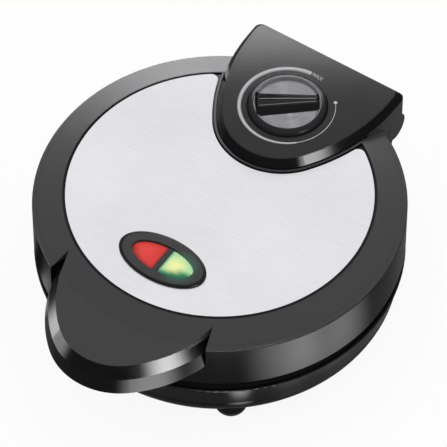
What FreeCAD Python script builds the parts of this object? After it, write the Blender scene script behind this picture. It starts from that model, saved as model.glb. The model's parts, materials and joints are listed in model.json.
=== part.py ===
import FreeCAD, Part
import math
import os

V = FreeCAD.Vector
UP = V(0, 0, 1)
RIGHT = V(1, 0, 0)
BACK = V(0, 1, 0)

# Fits and clearances
press_gap = 0.05
run_gap = 0.05
end_play = 0.4
seat_gap = 0.2
air_gap = 1.0
plate_gap = 0.3
hinge_side_gap = 0.5

# Shells of the lid and the base, in heights from the table upwards
shell_wall = 2.5
foot_height = 7.5
base_depth = 32.0
seam_gap = 7.2
lid_wall_height = 30.8
crown_rise = 6.0
lid_radius = 105.0
lid_edge_round = 1.2
base_rim_overhang = 0.3
base_rim_round = 0.8
belt_inset = 3.0
belt_rise = 16.7
frame_ring_thickness = 2.5
frame_ledge = 2.0
frame_ledge_height = 3.0
frame_skirt_depth = 6.0
frame_skirt_wall = 2.0

# Steel panel and the recess that holds it
panel_thickness = 1.0
panel_margin = 18.7
panel_groove = 1.0
panel_notch_round = 4.0
crown_land = 0.5

# Dial console above the hinge
console_rise = 6.5
console_length = 82.1
console_nose_radius = 33.0
console_half_width = 46.3
console_overhang = 7.0
console_side_length = 7.4
console_corner_radius = 4.0
console_spread = 3.5
console_bevel_drop = 5.0
console_edge_round = 0.6
collar_gap = 0.5
collar_width = 1.2
collar_height = 1.8
console_boss_radius = 4.0
console_boss_side = 30.0
console_boss_set = 6.9
console_boss_front = 6.6

# Front handle
handle_overhang = 27.5
handle_nose_radius = 34.0
handle_half_width = 48.0
handle_root_depth = 45.0
handle_side_length = 7.6
handle_root_corner = 1.0
handle_top_rise = 1.0
handle_bevel_spread = 4.5
handle_bevel_drop = 7.0
handle_cover_spread = 6.6
handle_cover_depth = 11.0
handle_cover_round = 1.5
handle_screw_side = 19.0
handle_screw_reach = 11.0
handle_boss_radius = 5.0
notch_tip_inset = 0.2
notch_tip_depth = 26.3
notch_lean = 16.0
notch_length = 40.0

# Hinge and rear bracket
hinge_drop = 18.0
knuckle_radius = 8.5
knuckle_width = 8.3
barrel_radius = 5.5
pin_radius = 2.5
pin_in_barrel = 12.0
pin_in_knuckle = 5.5
back_wall_lift = 8.0
hinge_flat_depth = 10.0
bracket_gap = 2.0
bracket_half_width = 46.0
bracket_rise = 12.0
bracket_set = 3.0
bracket_taper = 2.5
bracket_waist_drop = 12.0
bracket_bottom_rise = 6.0
bracket_foot_slope = 6.0
bracket_root_depth = 27.0
bracket_boss_radius = 4.0
bracket_screw_side = 26.0
bracket_screw_drop = 4.5
lead_window_half = 9.0

# Temperature dial
dial_inset = 36.1
dial_radius = 22.6
dial_gap = 0.6
dial_recess_depth = 4.0
dial_recess_wall = 2.0
dial_float = 0.3
dial_rim_rise = 3.2
dial_rim_radius = 18.8
dial_crest_width = 0.6
dial_dish_depth = 1.6
dial_dish_slope = 1.2
dial_bar_length = 34.0
dial_bar_wide_end = 7.2
dial_bar_narrow_end = 4.2
dial_bar_foot_length = 36.0
dial_bar_foot_wide_end = 17.0
dial_bar_foot_narrow_end = 11.0
dial_bar_rise = 3.8
dial_bar_sink = 0.4
dial_bar_round = 0.5
dial_pointer_angle = 36.0
dial_hub_radius = 6.0
dial_hub_depth = 2.2
shaft_radius = 3.0
shaft_in_dial = 1.5

# Thermostat
thermostat_length = 30.0
thermostat_width = 26.0
thermostat_height = 12.0
thermostat_bush_radius = 5.0
thermostat_bush_rise = 3.2
thermostat_sump = 3.0

# Lamp window
lamp_inset = 48.0
bezel_half_length = 27.3
bezel_half_width = 15.2
bezel_rise = 1.4
bezel_round = 0.9
bezel_flange = 2.8
bezel_depth = 4.0
bezel_rib = 3.0
bezel_rib_sink = 0.6
window_half_length = 19.5
window_half_width = 9.1
lens_sink = 1.6
lens_flange = 1.5
lens_flange_thickness = 1.2
lamp_radius = 3.0
lamp_height = 9.5
lamp_side = 10.0
holder_overhang = 1.2
holder_leg = 2.5
holder_half_width = 7.0
holder_plate = 2.0
holder_drop = 12.0

# Waffle plates, heating loops and shields
plate_margin = 17.0
plate_rim_width = 7.0
plate_rim_draft = 1.6
plate_rim_wall = 2.0
plate_rim_skirt = 4.0
plate_web = 6.4
plate_floor = 3.5
groove_depth = 5.8
groove_top = 6.5
groove_bottom = 4.5
groove_pitch = 14.0
plate_boss_radius = 5.0
plate_boss_height = 3.0
plate_thread_depth = 5.0
post_radius = 5.5
post_inset = 16.0
post_angle = 45.0
post_count = 4
element_radius = 3.2
element_inset = 30.0
element_gap_angle = 30.0
element_tail = 14.0
element_play = 0.05
shield_inset = 8.0
shield_thickness = 1.0
shield_hole_gap = 1.0
shield_boss_radius = 6.0
shield_thread_depth = 4.5

# Fasteners
screw_radius = 1.5
screw_head_radius = 3.4
screw_head_height = 2.2
screw_slot = 0.8
screw_hole_gap = 0.25
screw_head_gap = 0.4
screw_tip_gap = 0.5
plate_screw_cover = 10.0
plate_screw_sink = 0.3
cover_screw_depth = 4.0
cover_thread_depth = 3.5
console_thread_depth = 4.0
bracket_thread_depth = 6.0

# Feet, cord gland, terminals and fuse
foot_radius = 9.7
foot_tip_radius = 4.4
foot_bulge = 1.4
foot_inset = 17.0
foot_angle = 52.4
foot_stem_radius = 3.0
foot_stem_height = 4.5
gland_bore_radius = 3.6
gland_body_radius = 6.0
gland_flange_radius = 8.0
gland_flange_thickness = 2.2
gland_rise = 23.0
terminal_length = 30.0
terminal_width = 14.0
terminal_height = 9.0
terminal_inset = 41.0
terminal_hole_radius = 1.6
terminal_pitch = 9.0
fuse_radius = 2.2
fuse_length = 16.0
fuse_lead_radius = 0.6
fuse_lead_length = 7.0
fuse_x = 22.0
fuse_y = -12.0

# Radii that follow from the lid's
base_rim_radius = lid_radius + base_rim_overhang
belt_radius = lid_radius - belt_inset
floor_radius = belt_radius - belt_rise
panel_radius = lid_radius - panel_margin
plate_radius = lid_radius - plate_margin
post_circle = plate_radius - post_inset
element_circle = plate_radius - element_inset
shield_radius = plate_radius - shield_inset
foot_circle = lid_radius - foot_inset

# Places along the middle line, counted from the lid's axis towards the hinge
console_back = lid_radius + console_overhang
console_tip = console_back - console_length
handle_tip = -lid_radius - handle_overhang
handle_root = -lid_radius + handle_root_depth
handle_screw_row = -lid_radius - handle_screw_reach
notch_tip_y = -lid_radius + notch_tip_depth
lid_back = lid_radius - hinge_flat_depth
bracket_root = lid_radius - bracket_root_depth
dial_y = lid_radius - dial_inset
lamp_y = -lid_radius + lamp_inset
terminal_y = lid_radius - terminal_inset
console_boss_row = dial_y - console_boss_set
console_boss_tip = console_tip + console_boss_front

# Levels and sizes that follow from the values above
base_bottom = foot_height
base_floor = base_bottom + shell_wall
base_rim = base_bottom + base_depth
lid_lip = base_rim + seam_gap
lid_edge = lid_lip + lid_wall_height
lid_top = lid_edge + crown_rise
parting = (base_rim + lid_lip) / 2
recess_floor = lid_top - panel_thickness
recess_radius = panel_radius + panel_groove
crown_radius = recess_radius + crown_land
lid_ceiling = recess_floor - shell_wall
frame_seat = base_rim - frame_ring_thickness
console_top = lid_top + console_rise
console_ceiling = console_top - shell_wall
console_shoulder = console_top - console_bevel_drop
console_outer_half = console_half_width + console_spread
console_reach = console_back + console_spread
collar_inner = console_spread + collar_gap
collar_outer = collar_inner + collar_width
handle_reach = handle_cover_spread - handle_tip
handle_top = lid_edge + handle_top_rise
handle_seam = handle_top - handle_bevel_drop
handle_bottom = handle_seam - handle_cover_depth
notch_floor = handle_bottom - seat_gap
hinge_y = console_reach - knuckle_radius
hinge_z = lid_top - hinge_drop
knuckle_inner = console_outer_half - knuckle_width
barrel_half = knuckle_inner - hinge_side_gap
bracket_front = lid_back + bracket_gap
bracket_back = hinge_y + bracket_set
bracket_waist = bracket_back - bracket_taper
bracket_top = base_rim + bracket_rise
bracket_waist_z = bracket_top - bracket_waist_drop
bracket_bottom = base_bottom + bracket_bottom_rise
gland_z = base_bottom + gland_rise
bracket_screw_z = gland_z - bracket_screw_drop
cavity_radius = plate_radius - plate_rim_width
plate_rim = parting - plate_gap / 2
stud_top = parting - plate_web / 2
groove_floor = stud_top - groove_depth
plate_back = groove_floor - plate_floor
boss_seat = plate_back - plate_boss_height
lid_boss_seat = 2 * parting - boss_seat
element_z = plate_back - element_play - element_radius
shield_top = element_z - element_radius - element_play
shield_under = shield_top - shield_thickness
dial_seat = console_top - dial_recess_depth
dial_recess_radius = dial_radius + dial_gap
dial_under = dial_seat + dial_float
dial_rim_top = console_top + dial_rim_rise
dial_floor = dial_rim_top - dial_dish_depth
bezel_bottom = lid_top - bezel_depth
bezel_hole_length = bezel_half_length - bezel_flange
bezel_hole_width = bezel_half_width - bezel_flange
axis_shift = (handle_reach - console_reach) / 2


# Basic solids
def rod(radius, bottom, top, x=0.0, y=0.0):
    return Part.makeCylinder(radius, top - bottom, V(x, y, bottom))


def cross_rod(radius, start, end, y, z):
    return Part.makeCylinder(radius, end - start, V(start, y, z), RIGHT)


def block(x0, x1, y0, y1, z0, z1):
    return Part.makeBox(x1 - x0, y1 - y0, z1 - z0, V(x0, y0, z0))


def path(points):
    return [Part.LineSegment(a, b).toShape() for a, b in zip(points, points[1:])]


def loop_face(points):
    return Part.Face(Part.Wire(path(points + points[:1])))


def ring_points(*pairs):
    return [V(radius, 0, height) for radius, height in pairs]


def lathe(edges):
    return Part.Face(Part.Wire(edges)).revolve(V(0, 0, 0), UP, 360)


def turned(*pairs):
    return loop_face(ring_points(*pairs)).revolve(V(0, 0, 0), UP, 360)


def side_prism(half_width, *pairs):
    face = loop_face([V(-half_width, y, z) for y, z in pairs])
    return face.extrude(V(2 * half_width, 0, 0))


def oval(half_length, half_width, bottom, top):
    edge = Part.Ellipse(V(0, lamp_y, bottom), half_length, half_width).toShape()
    return Part.Face(Part.Wire([edge])).extrude(V(0, 0, top - bottom))


def joined(shapes):
    return shapes[0].multiFuse(shapes[1:]).removeSplitter()


def mirrored_up(shape):
    return shape.mirror(V(0, 0, parting), UP)


def circle_places(count, radius, first_angle):
    angles = [math.radians(first_angle + 360.0 * i / count) for i in range(count)]
    return [(radius * math.cos(a), radius * math.sin(a)) for a in angles]


# Bullet outline: a round nose to the front, long flank arcs, straight sides and a flat back
def bullet(tip, nose, half, back, side_length, corner, grow, z):
    nose_y = tip + nose
    side_y = back - side_length
    drop = side_y - nose_y
    flank = (drop ** 2 + half ** 2 - nose ** 2) / (2 * (half - nose))
    shift = flank - half
    span = flank - nose
    reach = nose + grow
    sweep = flank + grow
    touch = V(reach * shift / span, nose_y - reach * drop / span, z)
    middle = math.atan2(touch.y - side_y, touch.x + shift) / 2
    bulge = V(sweep * math.cos(middle) - shift, side_y + sweep * math.sin(middle), z)
    side = V(half + grow, side_y, z)
    rear = back + grow
    inset = corner * (1 - math.sqrt(0.5))
    corner_start = V(side.x, rear - corner, z)
    corner_middle = V(side.x - inset, rear - inset, z)
    corner_end = V(side.x - corner, rear, z)

    def flip(point):
        return V(-point.x, point.y, point.z)

    edges = [
        Part.Arc(flip(touch), V(0, tip - grow, z), touch),
        Part.Arc(touch, bulge, side),
        Part.LineSegment(side, corner_start),
        Part.Arc(corner_start, corner_middle, corner_end),
        Part.LineSegment(corner_end, flip(corner_end)),
        Part.Arc(flip(corner_end), flip(corner_middle), flip(corner_start)),
        Part.LineSegment(flip(corner_start), flip(side)),
        Part.Arc(flip(side), flip(bulge), flip(touch)),
    ]
    return Part.Wire([edge.toShape() for edge in edges])


def console_outline(grow, z):
    return bullet(console_tip, console_nose_radius, console_half_width, console_back,
                  console_side_length, console_corner_radius, grow, z)


def handle_outline(grow, z):
    return bullet(handle_tip, handle_nose_radius, handle_half_width, handle_root,
                  handle_side_length, handle_root_corner, grow, z)


def prism(outline, grow, bottom, top):
    return Part.Face(outline(grow, bottom)).extrude(V(0, 0, top - bottom))


def taper(outline, low_grow, low, high_grow, high):
    return Part.makeLoft([outline(low_grow, low), outline(high_grow, high)], True, True)


# Slotted screw whose head lies on the far side of its face from the tip
def screw(x, y, head_face, tip):
    way = 1 if tip > head_face else -1
    head = Part.makeCylinder(screw_head_radius, screw_head_height, V(x, y, head_face), V(0, 0, -way))
    shank = Part.makeCylinder(screw_radius, abs(tip - head_face), V(x, y, head_face), V(0, 0, way))
    crest = head_face - way * screw_head_height
    slot = block(x - screw_head_radius, x + screw_head_radius, y - screw_slot / 2, y + screw_slot / 2,
                 crest - screw_slot, crest + screw_slot)
    return head.fuse(shank).removeSplitter().cut(slot)


def thread_hole(x, y, bottom, top):
    return rod(screw_radius + press_gap, bottom, top, x, y)


def clear_hole(x, y, bottom, top):
    return rod(screw_radius + screw_hole_gap, bottom, top, x, y)


def head_hole(x, y, bottom, top):
    return rod(screw_head_radius + screw_head_gap, bottom, top, x, y)


post_places = circle_places(post_count, post_circle, post_angle)
handle_screw_places = [(side * handle_screw_side, handle_screw_row) for side in (-1, 1)]
console_boss_places = [(side * console_boss_side, console_boss_row) for side in (-1, 1)]
console_boss_places.append((0.0, console_boss_tip))
foot_x = foot_circle * math.cos(math.radians(foot_angle))
foot_y = foot_circle * math.sin(math.radians(foot_angle))
foot_places = {
    "front_left_foot": (-foot_x, -foot_y),
    "front_right_foot": (foot_x, -foot_y),
    "rear_left_foot": (-foot_x, foot_y),
    "rear_right_foot": (foot_x, foot_y),
}


# Bowl of the base, rounded into its floor and cut flat at the hinge
def bowl_curve(inset):
    turn = math.radians(45)
    sweep = belt_rise - inset
    low = V(floor_radius, 0, base_bottom + inset)
    high = V(floor_radius + sweep, 0, base_bottom + belt_rise)
    middle = V(floor_radius + sweep * math.sin(turn), 0, high.z - sweep * math.cos(turn))
    return low, high, Part.Arc(low, middle, high).toShape()


def behind(flat_y):
    return block(-base_rim_radius, base_rim_radius, flat_y, flat_y + base_rim_radius, 0, console_top)


def bowl_outer(clear):
    low, high, curve = bowl_curve(-clear)
    rim = V(base_rim_radius + clear, 0, base_rim)
    top = V(0, 0, base_rim)
    solid = lathe(path([top, V(0, 0, low.z), low]) + [curve] + path([high, rim, top]))
    rim_edges = [edge for edge in solid.Edges if edge.BoundBox.ZMin > base_rim - base_rim_round
                 and edge.BoundBox.XMin < 0]
    return solid.makeFillet(base_rim_round, rim_edges).cut(behind(lid_back + clear))


def bowl_inner():
    low, high, curve = bowl_curve(shell_wall)
    seat = V(base_rim_radius - shell_wall, 0, frame_seat)
    ledge = V(seat.x - frame_ledge, 0, frame_seat)
    top = V(0, 0, base_rim)
    edges = path([top, V(0, 0, base_floor), low]) + [curve]
    edges += path([high, ledge, seat, V(seat.x, 0, base_rim), top])
    return lathe(edges).cut(behind(lid_back - shell_wall))


# Rear bracket that carries the hinge barrel and the cord gland
def bracket_outer():
    return side_prism(bracket_half_width,
                      (bracket_root, bracket_bottom),
                      (bracket_waist - bracket_foot_slope, bracket_bottom),
                      (bracket_waist, bracket_bottom + bracket_foot_slope),
                      (bracket_waist, bracket_waist_z),
                      (bracket_back, bracket_top),
                      (bracket_front, bracket_top),
                      (bracket_front, frame_seat),
                      (bracket_root, frame_seat))


def bracket_inner():
    bottom = bracket_bottom + shell_wall
    waist = bracket_waist - shell_wall
    return side_prism(bracket_half_width - shell_wall,
                      (bracket_root, bottom),
                      (waist - bracket_foot_slope, bottom),
                      (waist, bottom + bracket_foot_slope),
                      (waist, bracket_waist_z),
                      (bracket_back - shell_wall, bracket_top - shell_wall),
                      (bracket_front + shell_wall, bracket_top - shell_wall),
                      (bracket_front + shell_wall, frame_seat),
                      (bracket_root, frame_seat))


def hinge_barrel():
    tube = cross_rod(barrel_radius, -barrel_half, barrel_half, hinge_y, hinge_z)
    root = bracket_top - shell_wall / 2
    web = side_prism(barrel_half,
                     (hinge_y - barrel_radius, root),
                     (bracket_back - shell_wall / 2, root),
                     (bracket_back, bracket_top),
                     (hinge_y + barrel_radius, hinge_z),
                     (hinge_y - barrel_radius, hinge_z))
    return tube.fuse(web)


def pin_hole(side, inward, outward):
    face = side * barrel_half
    start = face - side * inward
    end = face + side * outward
    return cross_rod(pin_radius + run_gap, min(start, end), max(start, end), hinge_y, hinge_z)


def gland_rod(radius, front, rear):
    return Part.makeCylinder(radius, rear - front, V(0, front, gland_z), BACK)


def bracket_rod(radius, x, front, rear):
    return Part.makeCylinder(radius, rear - front, V(x, front, bracket_screw_z), BACK)


def make_hinge_bracket():
    shell = bracket_outer().cut(bowl_outer(seat_gap)).cut(bracket_inner())
    front = lid_back + seat_gap
    added = [hinge_barrel()]
    for side in (-1, 1):
        added.append(bracket_rod(bracket_boss_radius, side * bracket_screw_side, front, bracket_waist))
    shell = shell.multiFuse(added)
    holes = [pin_hole(side, pin_in_barrel + end_play, hinge_side_gap) for side in (-1, 1)]
    for side in (-1, 1):
        holes.append(bracket_rod(screw_radius + press_gap, side * bracket_screw_side, front,
                                 front + bracket_thread_depth))
    holes.append(gland_rod(gland_body_radius + press_gap, bracket_waist - 2 * shell_wall,
                           bracket_waist + shell_wall))
    for hole in holes:
        shell = shell.cut(hole)
    return shell.removeSplitter()


def make_bracket_screws():
    tip = lid_back + seat_gap + bracket_thread_depth - screw_tip_gap
    inside = lid_back - shell_wall
    screws = []
    for side in (-1, 1):
        fastener = screw(side * bracket_screw_side, 0.0, 0.0, tip - inside)
        fastener.rotate(V(0, 0, 0), RIGHT, -90)
        fastener.translate(V(0, inside, bracket_screw_z))
        screws.append(fastener)
    return Part.makeCompound(screws)


def make_base_shell():
    outer = [bowl_outer(0.0)]
    for x, y in foot_places.values():
        outer.append(rod(foot_radius, base_bottom, base_bottom + belt_rise / 2, x, y))
    shell = joined(outer).cut(bowl_inner())
    posts = [rod(post_radius, base_bottom, boss_seat, x, y) for x, y in post_places]
    holes = []
    for x, y in post_places:
        holes.append(head_hole(x, y, base_bottom, base_bottom + plate_screw_cover))
        holes.append(clear_hole(x, y, base_bottom + plate_screw_cover, boss_seat))
    for x, y in foot_places.values():
        holes.append(rod(foot_stem_radius + press_gap, base_bottom, base_bottom + belt_rise, x, y))
    inside = lid_back - shell_wall
    for side in (-1, 1):
        holes.append(bracket_rod(screw_radius + screw_hole_gap, side * bracket_screw_side, inside, lid_back))
    holes.append(block(-lead_window_half, lead_window_half, inside, lid_back,
                       gland_z - lead_window_half / 2, gland_z + lead_window_half / 2))
    shell = shell.multiFuse(posts)
    for hole in holes:
        shell = shell.cut(hole)
    return shell.removeSplitter()


# Ring between a waffle plate and its shell, cut straight at the hinge
def make_plate_frame(shell_inside):
    outer = shell_inside - seat_gap
    inner = plate_radius + air_gap
    skirt_end = frame_seat - frame_skirt_depth
    ring = turned((inner, base_rim), (inner, skirt_end), (inner + frame_skirt_wall, skirt_end),
                  (inner + frame_skirt_wall, frame_seat), (outer, frame_seat), (outer, base_rim))
    rear = lid_back - shell_wall - seat_gap
    return ring.cut(block(-outer, outer, rear, rear + outer, base_bottom, base_rim + seam_gap))


# Waffle plate: a disc with a stepped edge, whose crossed grooves leave rows of studs
def grooves():
    reach = cavity_radius - groove_top / 2
    count = int(reach // groove_pitch)
    above = stud_top + groove_depth
    bars = []
    for i in range(-count, count + 1):
        middle = i * groove_pitch
        section = [(groove_bottom / 2, groove_floor), (groove_top / 2, stud_top), (groove_top / 2, above)]
        points = [V(-cavity_radius, middle - half, z) for half, z in section]
        points += [V(-cavity_radius, middle + half, z) for half, z in reversed(section)]
        bar = loop_face(points).extrude(V(2 * cavity_radius, 0, 0))
        crossing = bar.copy()
        crossing.rotate(V(0, 0, 0), UP, 90)
        bars += [bar, crossing]
    return bars[0].multiFuse(bars[1:]).common(rod(reach, plate_back, above))


def make_waffle_plate():
    step = stud_top - plate_rim_skirt
    edge = plate_radius - plate_rim_wall
    disc = turned((0.0, plate_back), (plate_radius, plate_back), (plate_radius, step),
                  (edge, step), (edge, stud_top), (0.0, stud_top))
    bosses = [rod(plate_boss_radius, boss_seat, plate_back, x, y) for x, y in post_places]
    bosses.append(rod(shield_boss_radius, shield_top, plate_back))
    plate = disc.cut(grooves()).multiFuse(bosses)
    for x, y in post_places:
        plate = plate.cut(thread_hole(x, y, boss_seat, boss_seat + plate_thread_depth))
    return plate.cut(thread_hole(0.0, 0.0, shield_top, shield_top + shield_thread_depth)).removeSplitter()


# Ring that dams the batter, set over the stepped edge of the plate
def make_plate_rim():
    step = stud_top - plate_rim_skirt
    inside = plate_radius - plate_rim_wall + press_gap
    return turned((inside, step), (plate_radius, step), (plate_radius, plate_rim),
                  (cavity_radius, plate_rim), (cavity_radius - plate_rim_draft, stud_top), (inside, stud_top))


# Tubular heating loop, open towards the back, with straight tails
def make_heating_element():
    start_angle = 90 + element_gap_angle
    start = math.radians(start_angle)
    ring = Part.Circle(V(element_circle, 0, element_z), BACK, element_radius).toShape()
    section = Part.Face(Part.Wire([ring]))
    section.rotate(V(0, 0, 0), UP, start_angle)
    pieces = [section.revolve(V(0, 0, 0), UP, 360 - 2 * element_gap_angle)]
    for side in (-1, 1):
        end = V(-side * element_circle * math.cos(start), element_circle * math.sin(start), element_z)
        way = V(-side * math.sin(start), -math.cos(start), 0)
        pieces.append(Part.makeCylinder(element_radius, element_tail, end, way))
    return joined(pieces)


# Shallow steel pan behind the plate
def make_heat_shield():
    inner = shield_radius - shield_thickness
    pan = turned((0.0, shield_under), (shield_radius, shield_under), (shield_radius, plate_back),
                 (inner, plate_back), (inner, shield_top), (0.0, shield_top))
    for x, y in post_places:
        pan = pan.cut(rod(post_radius + shield_hole_gap, shield_under, plate_back, x, y))
    return pan.cut(clear_hole(0.0, 0.0, shield_under, shield_top))


def make_shield_screw():
    return screw(0.0, 0.0, shield_under, shield_top + shield_thread_depth - screw_tip_gap)


def make_lower_plate_screws():
    tip = boss_seat + plate_thread_depth - screw_tip_gap
    return Part.makeCompound([screw(x, y, base_bottom + plate_screw_cover, tip) for x, y in post_places])


def make_foot(x, y):
    middle = V((foot_radius + foot_tip_radius) / 2 + foot_bulge, 0, foot_height / 2)
    side = Part.Arc(V(foot_tip_radius, 0, 0), middle, V(foot_radius, 0, foot_height)).toShape()
    stem_top = foot_height + foot_stem_height
    edges = path(ring_points((0.0, 0.0), (foot_tip_radius, 0.0))) + [side]
    edges += path(ring_points((foot_radius, foot_height), (foot_stem_radius, foot_height),
                              (foot_stem_radius, stem_top), (0.0, stem_top), (0.0, 0.0)))
    foot = lathe(edges)
    foot.translate(V(x, y, 0))
    return foot


def make_cord_gland():
    inside = bracket_waist - shell_wall
    front = inside - gland_flange_thickness
    rear = bracket_waist + gland_flange_thickness
    body = gland_rod(gland_body_radius, front, rear)
    flanges = [gland_rod(gland_flange_radius, bracket_waist, rear),
               gland_rod(gland_flange_radius, front, inside)]
    return body.multiFuse(flanges).cut(gland_rod(gland_bore_radius, front, rear)).removeSplitter()


def make_terminal_block():
    half = terminal_length / 2
    entry_z = base_floor + terminal_height / 3
    front = terminal_y - terminal_width / 2
    body = block(-half, half, front, front + terminal_width, base_floor, base_floor + terminal_height)
    for i in (-1, 0, 1):
        x = i * terminal_pitch
        body = body.cut(Part.makeCylinder(terminal_hole_radius, terminal_width, V(x, front, entry_z), BACK))
        body = body.cut(rod(terminal_hole_radius, entry_z, base_floor + terminal_height, x, terminal_y))
    return body


def make_hinge_pin(side):
    inner = side * (barrel_half - pin_in_barrel)
    outer = side * (knuckle_inner + pin_in_knuckle)
    return cross_rod(pin_radius, min(inner, outer), max(inner, outer), hinge_y, hinge_z)


# Lid as a full body, grown by a clearance when it shapes what sits on it
def lid_body(clear):
    edge = lid_radius + clear
    top = lid_top + clear
    floor = recess_floor + clear
    solid = turned((0.0, lid_lip), (edge, lid_lip), (edge, lid_edge + clear), (crown_radius, top),
                   (recess_radius, top), (recess_radius, floor), (0.0, floor))
    corner = [e for e in solid.Edges if abs(e.BoundBox.ZMax - lid_edge - clear) < lid_edge_round
              and e.BoundBox.ZMin > lid_edge - lid_edge_round and e.BoundBox.XMin < 0]
    rear = lid_back + clear
    return solid.makeFillet(lid_edge_round, corner).cut(
        block(-edge, edge, rear, rear + edge, lid_lip, console_top))


def lid_cavity():
    inner = lid_radius - shell_wall
    seat = lid_lip + frame_ring_thickness
    ledge_top = seat + frame_ledge_height
    knee = lid_edge - shell_wall
    slope = crown_rise / (lid_radius - crown_radius)
    ceiling_radius = inner - (lid_ceiling - knee) / slope
    cavity = turned((0.0, lid_lip), (inner, lid_lip), (inner, seat), (inner - frame_ledge, seat),
                    (inner - frame_ledge, ledge_top), (inner, ledge_top + frame_ledge), (inner, knee),
                    (ceiling_radius, lid_ceiling), (0.0, lid_ceiling))
    rear = lid_back - shell_wall
    return cavity.cut(block(-inner, inner, rear, rear + inner, lid_lip, lid_top))


# Open wedge between the handle's flank and the lid's band
def notch(side, grow, bottom):
    lean = math.radians(notch_lean)
    tip = V(side * (handle_half_width - notch_tip_inset), notch_tip_y, bottom)
    outward = tip + V(side * math.sin(lean), -math.cos(lean), 0) * notch_length
    inward = tip + V(-side * math.sin(lean), -math.cos(lean), 0) * notch_length
    wire = Part.Wire(path([tip, outward, inward, tip]))
    if grow:
        wire = wire.makeOffset2D(grow)
    return Part.Face(wire).extrude(V(0, 0, console_top - bottom))


def handle_lobe():
    return taper(handle_outline, handle_bevel_spread, handle_seam, 0.0, handle_top)


def handle_lobe_cavity():
    mouth = handle_bevel_spread - shell_wall
    hollow = taper(handle_outline, mouth, handle_seam, -shell_wall, handle_top - shell_wall)
    return hollow.cut(rod(lid_radius, lid_lip, lid_top))


def make_lid_shell():
    body = lid_body(0.0)
    cavity = lid_cavity()
    for side in (-1, 1):
        body = body.cut(notch(side, 0.0, notch_floor))
        cavity = cavity.cut(notch(side, shell_wall, notch_floor - shell_wall))
    shell = body.fuse(handle_lobe()).cut(cavity).cut(handle_lobe_cavity())
    collar = prism(console_outline, collar_outer, recess_floor, recess_floor + collar_height)
    collar = collar.cut(prism(console_outline, collar_inner, recess_floor, recess_floor + collar_height))
    added = [collar.common(rod(recess_radius, recess_floor, console_top))]
    for x, y in post_places:
        added.append(rod(post_radius, lid_boss_seat, recess_floor, x, y))
    for x, y in handle_screw_places:
        added.append(rod(handle_boss_radius, handle_seam, handle_top - shell_wall, x, y))
    shell = shell.multiFuse(added)
    head_face = recess_floor - screw_head_height - plate_screw_sink
    holes = [rod(thermostat_bush_radius + seat_gap, lid_ceiling, recess_floor, 0.0, dial_y)]
    holes.append(oval(bezel_hole_length + seat_gap, bezel_hole_width + seat_gap, lid_ceiling, recess_floor))
    for x, y in post_places:
        holes.append(clear_hole(x, y, lid_boss_seat, head_face))
        holes.append(head_hole(x, y, head_face, recess_floor))
    for x, y in handle_screw_places:
        holes.append(thread_hole(x, y, handle_seam, handle_seam + cover_thread_depth))
    for x, y in console_boss_places:
        holes.append(clear_hole(x, y, lid_ceiling, recess_floor))
    for hole in holes:
        shell = shell.cut(hole)
    return shell.removeSplitter()


def make_upper_plate_screws():
    head_face = recess_floor - screw_head_height - plate_screw_sink
    tip = lid_boss_seat - plate_thread_depth + screw_tip_gap
    return Part.makeCompound([screw(x, y, head_face, tip) for x, y in post_places])


# Lower half of the handle, a tray screwed up into the lobe, with a tongue in each notch
def make_handle_lower_cover():
    bend = handle_bottom + handle_cover_round
    floor = handle_bottom + shell_wall
    shell = joined([taper(handle_outline, handle_cover_spread, bend, handle_bevel_spread, handle_seam),
                    taper(handle_outline, handle_cover_spread - handle_cover_round, handle_bottom,
                          handle_cover_spread, bend)])
    lid_side = lid_radius + seat_gap
    lid_wall = rod(lid_side, lid_lip, lid_top)
    for side in (-1, 1):
        lid_wall = lid_wall.cut(notch(side, -seat_gap, notch_floor))
    hollow = taper(handle_outline, handle_cover_spread - shell_wall, floor,
                   handle_bevel_spread - shell_wall, handle_seam)
    hollow = hollow.cut(rod(lid_side + shell_wall, lid_lip, lid_top))
    shell = shell.cut(lid_wall).cut(hollow)
    bosses = [rod(handle_boss_radius, handle_bottom, handle_seam, x, y) for x, y in handle_screw_places]
    shell = shell.multiFuse(bosses)
    for x, y in handle_screw_places:
        shell = shell.cut(head_hole(x, y, handle_bottom, handle_bottom + cover_screw_depth))
        shell = shell.cut(clear_hole(x, y, handle_bottom + cover_screw_depth, handle_seam))
    return shell.removeSplitter()


def make_handle_screws():
    tip = handle_seam + cover_thread_depth - screw_tip_gap
    return Part.makeCompound([screw(x, y, handle_bottom + cover_screw_depth, tip)
                              for x, y in handle_screw_places])


def make_lid_panel():
    notch_grow = collar_outer + panel_groove
    disc = rod(panel_radius, recess_floor, lid_top).cut(
        prism(console_outline, notch_grow, recess_floor, lid_top))
    corners = [e for e in disc.Edges if e.BoundBox.ZLength > panel_thickness / 2
               and e.BoundBox.XLength < panel_thickness / 2
               and e.BoundBox.YMin > dial_y - dial_radius and abs(e.BoundBox.XMin) > console_half_width / 2
               and math.hypot(e.BoundBox.XMin, e.BoundBox.YMin) > panel_radius - panel_thickness / 2]
    disc = disc.makeFillet(panel_notch_round, corners)
    return disc.cut(oval(bezel_hole_length + seat_gap, bezel_hole_width + seat_gap, recess_floor, lid_top))


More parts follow.
